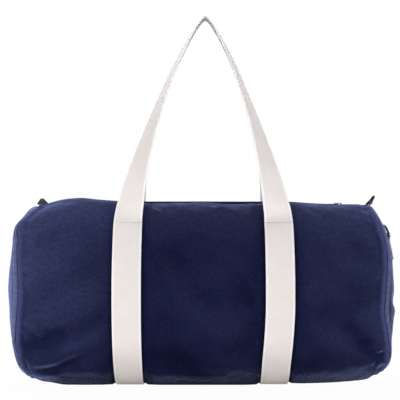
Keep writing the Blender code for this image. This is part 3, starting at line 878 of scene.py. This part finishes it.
def canvas_wear_and_light(A, x, z, inside):
    """Seams rubbed pale; painted shadow by the straps, painted light on ends and crown, painted shade low down.
    """
    rubbed = hump(inside, *SEAM_RUB) + fall(inside, *SEAM_PALE)
    painted_strap_shadow = hump(beside_strap(A, x), *STRAP_SHADE) * rise(degrees_down(A), *STRAP_SHADE_DOWN)
    up = rise(z, 0, PAINTED_LIGHT_UP)
    left = rise(-x, *LEFT_PAINTED_LIGHT) * (LEFT_LOW + (1 - LEFT_LOW) * up)
    right = rise(x, *RIGHT_PAINTED_LIGHT) * (RIGHT_LOW + (1 - RIGHT_LOW) * up)
    low = fall(z, *LOW_SHADE) + fall(z, *LOWEST_SHADE)
    return rubbed - painted_strap_shadow + ALL_FADE + left + right + rise(z, *CROWN_PAINTED_LIGHT) - low


def inward(points):
    """Directions from these points towards the bag's middle line."""
    return unit(np.stack([0 * points[..., 0], -points[..., 1], CENTRE - points[..., 2]], -1))


def add_edges(points):
    """Turns the lips and the seam edges under, two rows each."""
    def rolled_lip(edge, inner):
        way, down = unit(edge - inner), inward(edge)
        return [edge + way * out + down * drop for out, drop in LIP_TURN]

    first, second = rolled_lip(points[0], points[1])
    last, beyond = rolled_lip(points[-1], points[-2])
    points = np.stack([second, first, *points, last, beyond])
    left1, left2 = rolled_seam(points[:, :1], -1)
    right1, right2 = rolled_seam(points[:, -1:], 1)
    return np.concatenate([left2, left1, points, right1, right2], axis=1)


def rolled_seam(edge, end):
    down = inward(edge)
    first, second = (edge + down * drop for drop in SEAM_TURN)
    second[..., 0] -= end * SEAM_SIDEWAYS
    return first, second


# End panels: how far they swell, and folds with y and z of both ends, half width and depth in millimetres
SWELL = {-1: 0.0230, 1: 0.0165}
SWELL_POWER = 0.5
TOP_SWELL = {-1: (0.70, 0.25, -0.22), 1: (0.70, 0.25, 0.08)}
SHIFT_POWER, DIP_FADE_POWER = 8, 12
END_FOLDS = {
    -1: [
        ((-70, 60), (20, 96), 15, 1.2), ((70, 60), (20, 20), 12, 1.6),
        ((-80, 170), (-40, 195), 10, 0.6), ((40, 170), (92, 150), 12, 1.4),
    ],
    1: [
        ((-100, 118), (-62, 112), 6, 2.2), ((-84, 60), (-20, 84), 14, 1.0),
        ((30, 30), (84, 66), 13, 1.8), ((50, 190), (88, 160), 10, 1.2),
    ],
}
END_PAST, END_FOLD_FADE = 0.3, 0.45
END_FOLD_RIDGE, END_RIDGE_WIDTH = 0.7, 1.2
END_ANGLES, END_RINGS, END_CROWDING = 241, 56, 1.8
# Lumps and the gathers along the seam; an end's own seed is -1 or 1 away from this one
END_LUMPS, END_SMALL_LUMPS = (0.0007, 0.09, 21), (0.0003, 0.04, 25)
GATHERS, GATHER_TURN, GATHER_FADE, RIM_FREE = (0.0006, 0.019, 31, 6), 0.12, 0.014, 0.008
# Kept even beside the zip's tab, and over the binding; on the right the ring's tab lies on the even solid
TAB_SIDE, TAB_UP = 0.024, (0.155, 0.02)
BINDING_GUARD = 0.024, 0.012, 0.85
RING_SIDE, RING_MIDDLE, RING_UP, RING_RIM = (0.014, 0.020), 0.190, (0.024, 0.026), 0.012
# The seam ridge is rubbed pale; painted highlights where the canvas bulges out
END_RUB, END_PUSH_HIGHLIGHT, END_PUSH_DEPTH = 0.30, 0.10, 0.003
# Painted light higher up on the ends, and a band of painted shade across the right end's middle
END_PAINTED_LIGHT = {-1: (0.12, 0.05, 0.15), 1: (0.12, 0.05, 0.14)}
END_SHADE = {-1: (0.100, 0.045, 0.0), 1: (0.100, 0.045, 0.13)}


def dome_x(reach, angle, end):
    rim = seam_shift(angle, end) * reach**SHIFT_POWER - seam_lean(angle) * reach**2
    power = SWELL_POWER + rise(np.cos(angle), *TOP_SWELL[end])
    return HALF_LENGTH + rim + SWELL[end] * np.maximum(1 - reach * reach, 0) ** power


def end_panel(end, name):
    """A round end that bulges out, with the seam's ridge round its edge."""
    angle = np.linspace(0, TURN, END_ANGLES)
    reach = np.sin(math.pi / 2 * (1 - np.linspace(0, 1, END_RINGS) ** END_CROWDING))
    A, R = np.meshgrid(angle, reach, indexing="ij")
    edge_y, edge_z = skin(A, np.full_like(A, end), 0, R**DIP_FADE_POWER)
    Y, Z = edge_y * R, CENTRE + (edge_z - CENTRE) * R
    X = dome_x(R, A, end) + CLEARANCE
    rim = (1 - R) * np.hypot(edge_y, edge_z - CENTRE)

    def uneven(a, b, height, length, seed, *count):
        return waves(a, b, height, length, seed + end, *count)

    push = uneven(Y, Z, *END_LUMPS) + uneven(Y, Z, *END_SMALL_LUMPS)
    push += uneven(A * GATHER_TURN, PUCKER_STRETCH * R, *GATHERS) * np.exp(-rim / GATHER_FADE)
    for (y0, z0), (y1, z1), width, depth in END_FOLDS[end]:
        y0, z0, y1, z1, width, depth = metres(y0, z0, y1, z1, width, depth)
        share, beside = beside_line(Y, Z, (y0, z0), (y1, z1))
        ridge = hump(beside, RIDGE_AT * width, END_RIDGE_WIDTH * width, END_FOLD_RIDGE)
        push += depth * within(share, END_PAST, END_FOLD_FADE) * (ridge - bump(beside, width))
    near_tab = bump(Y, TAB_SIDE) * rise(Z, *TAB_UP)
    push *= rise(rim, 0, RIM_FREE) * (1 - near_tab)
    push = eased(push, fall(rim, *BINDING_GUARD))
    if end > 0:
        held = fall(np.abs(Y), *RING_SIDE) * fall(np.abs(Z - RING_MIDDLE), *RING_UP) * rise(rim, 0, RING_RIM)
        X = X + (even_dome(R, A) + CLEARANCE - X) * held
    push += seam_profile(rim, END_RIDGE, END_DITCH)
    # Rubbed seam ridge, then painted highlights on bulges and painted light and shade by height
    wear_and_painted_light = hump(rim, *RIDGE, END_RUB) + np.clip(push / END_PUSH_DEPTH, 0, 1) * END_PUSH_HIGHLIGHT
    wear_and_painted_light += rise(Z, *END_PAINTED_LIGHT[end]) - hump(Z, *END_SHADE[end])
    points = np.stack([end * (X + push), Y, Z], -1)
    first, second = rolled_seam(points[:, :1], -end)
    points = np.concatenate([second, first, points], axis=1)
    wear_and_painted_light = np.concatenate([wear_and_painted_light[:, :1], wear_and_painted_light[:, :1], wear_and_painted_light], axis=1)
    return grid_object(name, points, points[..., 1:], flip=end > 0, wear_and_painted_light=wear_and_painted_light)


# Straps and handles
STRAP_ROWS, LEG_ROWS, LEG_CROWDING = 260, 110, 1.15
SEWN_STEPS, BAR_STEPS, BOX_STEPS = 500, 12, 8


def strap_frame(angle, end):
    """Centre line of a strap on the canvas: points, directions across and outward."""
    x = strap_x(angle, end)
    lift = (WEB + CLEARANCE) * bed_share(angle) - (CLEARANCE + WEB / 2)
    centre = np.stack([x, *skin(angle, x / HALF_LENGTH, lift)], -1)
    way = unit(np.gradient(centre, axis=0))
    across = unit(np.array([1.0, 0, 0]) - way * way[:, :1])
    return centre, across, unit(np.cross(across, way))


def strap(end, name):
    angle = np.linspace(STRAP_END, TURN - STRAP_END, STRAP_ROWS)
    centre, across, _ = strap_frame(angle, end)
    return ribbon_object(name, centre, across, WEB_WIDTH, WEB, WEB_BEAD, WEBBING)


def bezier(share, points):
    rest = 1 - share
    weights = np.stack([rest**3, 3 * rest * rest * share, 3 * rest * share * share, share**3], -1)
    return weights @ points


def strap_top(side):
    """Where the straps' sewn ends pass into a handle, at mid-thickness: (y, z)."""
    y, z = skin(np.array(STRAP_END), np.array(STRAP_X / HALF_LENGTH), -(CLEARANCE + WEB / 2))
    return side * abs(float(y)), float(z)


def leg(side, share):
    """Points of a handle's left leg and the direction across the webbing there."""
    base = np.array([-STRAP_X, *strap_top(side)])
    reach = side * (WEB_WIDTH / 2 + PARTING)
    crown = np.array([0, reach * math.cos(TILT), CENTRE + HANDLE_HEIGHT + reach * math.sin(TILT)])
    first = base + np.array([LEG_INWARD[side], -side * LEG_BACKWARD, LEG_RISE])
    centre = bezier(share, np.array([base, first, crown - np.array([ARCH_REACH, 0, 0]), crown]))
    # The first stretch carries on in the strap's own direction before it turns up.
    from_base = np.linalg.norm(centre - base, axis=-1)[:, None]
    onward = base + from_base * np.array([0, -side * math.cos(STRAP_END), math.sin(STRAP_END)])
    centre = onward + (centre - onward) * smooth(from_base / LEG_ONWARD)
    way = unit(np.gradient(centre, axis=0))
    twist = EARLY_TWIST * (1 - (1 - share) ** TWIST_SPEED[side]) + LATE_TWIST * share**3
    swing = side * np.sin(twist)
    across = np.stack([np.cos(twist), swing * math.cos(TILT), swing * math.sin(TILT)], -1)
    across = unit(across - np.sum(across * way, -1, keepdims=True) * way)
    across[0] = (1, 0, 0)
    return centre, across


def handle(side, name):
    """One handle: its left leg and the same leg mirrored, leaning a little to the right at the top."""
    mirror = np.array([-1.0, 1, 1])
    centre, across = (
        np.concatenate([half, (half * mirror)[::-1][1:]])
        for half in leg(side, np.linspace(0, 1, LEG_ROWS) ** LEG_CROWDING)
    )
    centre[:, 0] += HANDLE_LEAN * smooth((centre[:, 2] - CENTRE) / HANDLE_HEIGHT - LEAN_FROM)
    return ribbon_object(name, centre, across, WEB_WIDTH, WEB, WEB_BEAD, HANDLE_WEBBING)


# Zip tapes, ribbon tabs, bindings and the ring's tab
TAPE = 0.0007
TAPE_GAP = 0.0019
TAPE_END = 0.975
TAPE_COLUMNS = 200
TAB_WIDTH = 0.0244
TAB_RIBBON = 0.0010
TAB_BEAD = 0.1
TAB_SHARE = 0.92
TAB_BOW = 0.0008
TAB_TURN = {-1: math.radians(46), 1: math.radians(-20)}
TAB_TURN_OVER, TAB_TAPER, TAB_TAPER_OVER = 0.004, 0.7, 0.010
SEAM_FOLD = 0.003
# The folded ribbon's way, outward from the zip's end and up: a plump loop on the left, a leaning one on the right
TAB_LOOPS = {
    -1: [
        (-0.014, 0), (-0.008, 0.0002), (-0.0036, 0.0014), (-0.0012, 0.0052), (0.0002, 0.0092),
        (0.0012, 0.0102), (0.0021, 0.0092), (0.0020, 0.0052), (0.0030, 0.0008),
    ],
    1: [
        (-0.014, 0), (-0.004, 0.0002), (0.0034, 0.0014), (0.0076, 0.0056), (0.0114, 0.0106), (0.0140, 0.0140),
        (0.0152, 0.0144), (0.0154, 0.0128), (0.0122, 0.0080), (0.0092, 0.0036), (0.0078, 0.0006),
    ],
}


def zip_tape(side, name):
    """Woven tape under the canvas lip, from beside the teeth to the seam."""
    across = np.concatenate([np.linspace(TAPE_GAP, LIP, 8), np.linspace(LIP, VALLEY, 10)[1:]])
    A, S = np.meshgrid(np.arcsin(across / (WIDTH / 2)), np.linspace(-TAPE_END, TAPE_END, TAPE_COLUMNS))
    y, z = skin(A, S, CANVAS + 2 * CLEARANCE + TAPE / 2)
    return thick_sheet(name, np.stack([skin_x(A, S), -side * y, z], -1), TAPE, RIBBON)


def ribbon_along(name, path, width, thickness, material, rows, bow=0.0):
    """A flat ribbon that follows a smoothed path in the (x, z) plane, bowed a little across its width."""
    path = np.array(path, float)
    run = run_along(path)
    x, z = (np.interp(np.linspace(0, run[-1], rows), run, path[:, k]) for k in (0, 1))
    for _ in range(3):
        for line in (x, z):
            line[1:-1] = np.convolve(line, (0.25, 0.5, 0.25), "valid")
    centre = np.stack([x, 0 * x, z], -1)
    piece = ribbon_object(name, centre, np.tile([0, 1.0, 0], (rows, 1)), width, thickness, TAB_BEAD, material)
    for vertex in piece.data.vertices:
        vertex.co.z -= bow * (vertex.co.y / (width / 2)) ** 2
    return piece


def zip_tab(end, name):
    """A folded ribbon over the end of the zip, turned and narrowed as it rises."""
    edge = np.array(math.asin(TAB_WIDTH / WIDTH))
    base = float(skin(edge, np.array(end * TAB_SHARE), -(CLEARANCE + TAB_RIBBON / 2))[1])
    root = HALF_LENGTH - float(seam_lean(edge)) - SEAM_FOLD
    path = [(end * (root + out), base + up) for out, up in TAB_LOOPS[end]]
    piece = ribbon_along(name, path, TAB_WIDTH, TAB_RIBBON, RIBBON, 60, TAB_BOW)
    for vertex in piece.data.vertices:
        up = vertex.co.z - base
        turn = TAB_TURN[end] * float(smooth(up / TAB_TURN_OVER))
        x, y = vertex.co.x - end * root, vertex.co.y * (1 - TAB_TAPER * float(smooth(up / TAB_TAPER_OVER)))
        vertex.co.x = end * root + x * math.cos(turn) - y * math.sin(turn)
        vertex.co.y = x * math.sin(turn) + y * math.cos(turn)
    return piece


# The solids' even end panel, which carries the ring and its tab
END_BULGE = 0.0215
END_POWER = 0.45
RING_SHARE = 0.642
RING_RISE = 0.0138
RING_WIRE = 0.0016
RING_SEAT = 0.0004
RING_TAB_LENGTH = 0.032
RING_TAB_WIDTH = 0.0245
RING_TAB_WEB = 0.0016
STITCH_GAP = 0.0004
SEAM_RADIUS = HEIGHT - TOP_DROP - CENTRE


def even_dome(reach, angle):
    return HALF_LENGTH - seam_lean(angle) * reach**2 + END_BULGE * np.maximum(1 - reach * reach, 0) ** END_POWER


def dome_spot(up):
    """(x, z) on the right end panel's centre line, this far above the bag's centre."""
    return np.array([float(even_dome(up / SEAM_RADIUS, 0.0)) + CLEARANCE, CENTRE + up])


def outward_of(way):
    return np.array([way[1], -way[0]])


def ring_tab_path():
    """The two layers of the ring's tab and its fold round the bar, as (x, z), and where its layers are sewn."""
    bar_up = RING_SHARE * SEAM_RADIUS
    low, high = dome_spot(bar_up), dome_spot(bar_up + RING_RISE + RING_WIRE)
    way = unit(high - low)
    out = outward_of(way)
    bar = low + out * (RING_TAB_WEB + 2 * RING_SEAT + CLEARANCE + RING_WIRE)
    inner = []
    for share in np.linspace(0, 1, 6):
        up = bar_up - RING_TAB_LENGTH * (1 - share) - RING_WIRE
        spot = dome_spot(up)
        inner.append((spot, outward_of(unit(dome_spot(up + RING_WIRE) - spot))))
    lift = CLEARANCE + RING_TAB_WEB / 2
    radius = RING_WIRE + RING_SEAT + RING_TAB_WEB / 2
    path = [spot + normal * lift for spot, normal in inner]
    path += [
        bar - out * radius * math.cos(turn) + way * radius * math.sin(turn)
        for turn in np.linspace(0, math.pi, 12)
    ]
    outer = lift + RING_TAB_WEB + STITCH_GAP
    path += [spot + normal * outer for spot, normal in reversed(inner[:-1])]
    return path, [(spot + normal * (outer + RING_TAB_WEB / 2), normal) for spot, normal in inner]


ALLOWANCE = 0.009
BINDING_WIDTH = 0.0045
BINDING = 0.0006
BINDING_INSET = 0.001
ROUNDING = 0.7


def binding(end, name):
    """Tape folded over the raw edges inside the end seam."""
    out = CANVAS + 2 * CLEARANCE + BINDING / 2
    flat = [ALLOWANCE - BINDING_WIDTH, ALLOWANCE - BINDING_WIDTH / 2, ALLOWANCE]
    turn, turned = ALLOWANCE + ROUNDING * out, ROUNDING * out
    profile = np.array([
        *((inset, -out) for inset in flat), (turn, -turned), (ALLOWANCE + out, 0), (turn, turned),
        *((inset, out + CLEARANCE) for inset in flat[::-1]),
    ])
    A, inset = np.meshgrid(np.linspace(0, TURN, END_ANGLES), profile[:, 0], indexing="ij")
    y, z = skin(A, np.full_like(A, end), inset)
    x = seam_x(A, end) - BINDING_INSET + profile[None, :, 1]
    return thick_sheet(name, np.stack([end * x, y, z], -1), BINDING, NAVY)


# Stitching: each stitch a short spindle, as (place along it, share of its thickness)
SPINDLE = [(-0.5, 0.25), (-0.3, 0.9), (0, 1.0), (0.3, 0.9), (0.5, 0.25)]
SPINDLE_SIDES = 5
SPINDLE_FLATNESS = 0.8
STITCH_SHARE = 0.72
STITCH_AHEAD = 0.1
THREAD = 0.0006
STITCH_INSET = 0.0030
STRAP_PITCH, BAR_PITCH, TAB_PITCH = 0.0034, 0.0032, 0.0030
STITCH_END = 0.02
STITCH_FLOOR = 0.0002
BAR_ROWS = 6, -7
FOOT_LIFT = 0.35


def stitch_row(name, line, outs, pitch):
    """Stitches at an even pitch along a line of points, half sunk, with each point's outward direction."""
    run = run_along(line)
    places = np.arange(pitch / 2, run[-1], pitch)

    def at(values, where):
        return np.stack([np.interp(where, run, values[:, k]) for k in range(3)], -1)

    spots, ahead = at(line, places), at(line, places + pitch * STITCH_AHEAD)
    ways, outs = unit(ahead - spots), unit(at(outs, places))
    spots, ways, outs = (values[:, None, None] for values in (spots, ways, outs))
    turns = TURN * np.arange(SPINDLE_SIDES)[:, None] / SPINDLE_SIDES
    rings = np.cross(ways, outs) * np.cos(turns) + outs * (np.sin(turns) * SPINDLE_FLATNESS)
    along, wide = np.array(SPINDLE).T[..., None, None]
    points = spots + ways * along * (pitch * STITCH_SHARE) + rings * wide * THREAD / 2
    index = np.arange(points[..., 0].size).reshape(points.shape[:3])
    after = np.roll(index, -1, axis=2)
    walls = np.stack([index[:, :-1], after[:, :-1], after[:, 1:], index[:, 1:]], -1)
    faces = []
    for stitch, wall in zip(index.tolist(), walls.reshape(len(index), -1, 4).tolist(), strict=True):
        faces += [*wall, stitch[0][::-1], stitch[-1]]
    mesh = bpy.data.meshes.new(name)
    mesh.from_pydata(points.reshape(-1, 3), [], faces)
    mesh.shade_smooth()
    mesh.materials.append(ECRU_THREAD)
    dress(placed(name, mesh), "ecru_webbing")


def strap_stitching(end, label):
    """Two long rows on a strap and a bar across each of its ends."""
    angle = np.linspace(STRAP_END + STITCH_END, TURN - STRAP_END - STITCH_END, SEWN_STEPS)
    centre, across, normal = strap_frame(angle, end)
    half = WEB_WIDTH / 2 - STITCH_INSET
    for side, place in ((-1, "inner"), (1, "outer")):
        line = centre + across * side * half + normal * WEB / 2
        line[:, 2] = np.maximum(line[:, 2], STITCH_FLOOR)
        stitch_row(f"strap_stitches_{label}_{place}", line, normal, STRAP_PITCH)
    for number, row in enumerate(BAR_ROWS):
        left, right = (centre[row] + across[row] * out + normal[row] * WEB / 2 for out in (-half, half))
        outs = np.tile(normal[row], (BAR_STEPS, 1))
        stitch_row(f"strap_bar_{label}_{number}", np.linspace(left, right, BAR_STEPS), outs, BAR_PITCH)


def tab_stitching(face):
    """A sewn box on the ring's tab."""
    spots, outs = (np.array([[pair[k][0], 0, pair[k][1]] for pair in face]) for k in (0, 1))
    half = RING_TAB_WIDTH / 2 - STITCH_INSET
    for side, place in ((-1, "front"), (1, "back")):
        stitch_row("tab_stitches_" + place, spots[:-1] + np.array([0, side * half, 0]), outs[:-1], TAB_PITCH)
    for row, place, lifted in ((0, "foot", FOOT_LIFT), (4, "head", 0)):
        line = np.array([spots[row] + np.array([0, y, 0]) for y in np.linspace(-half, half, BOX_STEPS)])
        line = line + (spots[row + 1] - spots[row]) * lifted
        stitch_row("tab_stitches_" + place, line, np.tile(outs[row], (BOX_STEPS, 1)), TAB_PITCH)


# Studio. The photograph's field of view is that of a 1441 px focal length on its 400 px.
FLOOR_HALF, FLOOR_DROP = 6, 0.0006
FLOOR_SHADOW_FROM, FLOOR_SHADOW_TO = 0.25, 0.55
WORLD_COLOUR = (0.93, 0.95, 1.0)
LAMPS = [  # name, place, target, size, watts and spread in degrees
    ("front", (-0.4, -2.5, 0.10), (0, 0, 0.12), (2.0, 0.6), 59, 180),
    ("low", (0, -1.3, 0.035), (0, 0, 0.035), (1.7, 0.05), 0.14, 7),
    ("top", (-0.3, 0.6, 1.6), (0, 0, 0.2), (1.2, 0.8), 18, 180),
    ("handles", (1.6, -0.8, 0.42), (0.04, 0, 0.40), (0.3, 0.3), 0.10, 12),
    ("left", (-1.5, 0, 0.09), (-0.27, 0, 0.12), (0.18, 0.12), 0.20, 12),
    ("right", (1.5, 0, 0.10), (0.27, 0, 0.13), (0.18, 0.12), 0.12, 12),
]
FOCAL_PX, PHOTO_PX, SENSOR_MM = 1441, 400, 36
CAMERA_PLACE, CAMERA_AIM = (-0.0044, -2.0, 0.145), (-0.0044, 0, 0.254)


def seen_directly(tree):
    """1 for the rays that see the studio itself, which it answers with plain white."""
    path = tree.add("LightPath")
    return tree.maths("MAXIMUM", path.outputs["Is Camera Ray"], path.outputs["Is Glossy Ray"])


def floor():
    """White ground, with a soft shadow only near the bag."""
    made = bmesh.new()
    bmesh.ops.create_grid(made, x_segments=1, y_segments=1, size=FLOOR_HALF)
    mesh = bpy.data.meshes.new("floor")
    made.to_mesh(mesh)
    made.free()
    ground = placed("floor", mesh)
    ground.location.z = -FLOOR_DROP
    s = Shader("white floor", (0.85, 0.85, 0.85), 0.8)
    length = s.add("VectorMath", operation="LENGTH", Vector=s.place()).outputs["Value"]
    far = s.remap(length, FLOOR_SHADOW_FROM, FLOOR_SHADOW_TO, 0.97, 1.0)
    glow = s.add("Emission", Color=(1, 1, 1), Strength=1.0)
    s.end_in("Material Output", s.times(far, seen_directly(s)), s.surface, glow)
    mesh.materials.append(s.material)


def world():
    """Soft sky, brighter near the horizon, that is seen as white."""
    made = bpy.data.worlds.new("studio")
    s = Tree(made)
    up = s.add("SeparateXYZ", Vector=s.place("Generated")).outputs["Z"]
    plain = s.nodes["Background"]
    s.feed(plain.inputs["Color"], WORLD_COLOUR)
    s.feed(plain.inputs["Strength"], s.remap(up, 0.05, 0.75, 0.85, 0.38))
    white = s.add("Background", Color=(1, 1, 1), Strength=1.0)
    s.end_in("World Output", seen_directly(s), plain, white)
    bpy.context.scene.world = made


def aimed(name, data, place, target):
    made = placed(name, data)
    made.location = place
    made.rotation_euler = (Vector(target) - Vector(place)).to_track_quat("-Z", "Y").to_euler()
    return made


def lamp(name, place, target, size, power, spread_angle):
    light = bpy.data.lights.new(name, "AREA")
    light.spread = math.radians(spread_angle)
    light.shape = "RECTANGLE"
    light.size, light.size_y = size
    light.energy = power
    aimed(name, light, place, target)


def camera():
    lens = bpy.data.cameras.new("camera")
    lens.sensor_width = SENSOR_MM
    lens.lens = FOCAL_PX / PHOTO_PX * SENSOR_MM
    bpy.context.scene.camera = aimed("camera", lens, CAMERA_PLACE, CAMERA_AIM)


# The CAD's own solids that stay, by how their names start
CARRIED = {
    "zip_teeth": PLASTIC, "zip_slider": METAL, "zip_pull": METAL, "zip_bottom": PLASTIC, "zip_top": PLASTIC,
    "d_ring": METAL,
}


def build():
    camera()
    world()
    floor()
    for lamp_settings in LAMPS:
        lamp(*lamp_settings)
    body = canvas_body()
    body.data.materials.append(NAVY)
    dress(body, "navy_canvas", "body_panel")
    for end, label in ((-1, "left"), (1, "right")):
        panel = end_panel(end, "end_" + label)
        panel.data.materials.append(NAVY_ENDS)
        dress(panel, "navy_canvas", "end_panel_" + label)
        dress(binding(end, "binding_" + label), "navy_binding", "seam_binding_" + label)
        dress(strap(end, "webbing_" + label), "ecru_webbing", "strap_" + label)
        dress(zip_tab(end, "ribbon_tab_" + label), "black_tape", "zip_tab_" + label)
        strap_stitching(end, label)
    path, face = ring_tab_path()
    tab = ribbon_along("ring_tab_webbing", path, RING_TAB_WIDTH, RING_TAB_WEB, WEBBING, 90)
    dress(tab, "ecru_webbing", "ring_tab")
    tab_stitching(face)
    for side, label in ((-1, "front"), (1, "back")):
        piece = handle(side, "handle_webbing_" + label)
        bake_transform(piece)
        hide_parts("handle_" + label)
        dress(zip_tape(side, "tape_" + label), "black_tape", "zip_tape_" + label)
    for name, node in frame["nodes"].items():
        for start, material in CARRIED.items():
            if name.startswith(start):
                for slot in node.material_slots:
                    slot.material = material


build()
view = bpy.context.scene.view_settings
view.view_transform = "Standard"
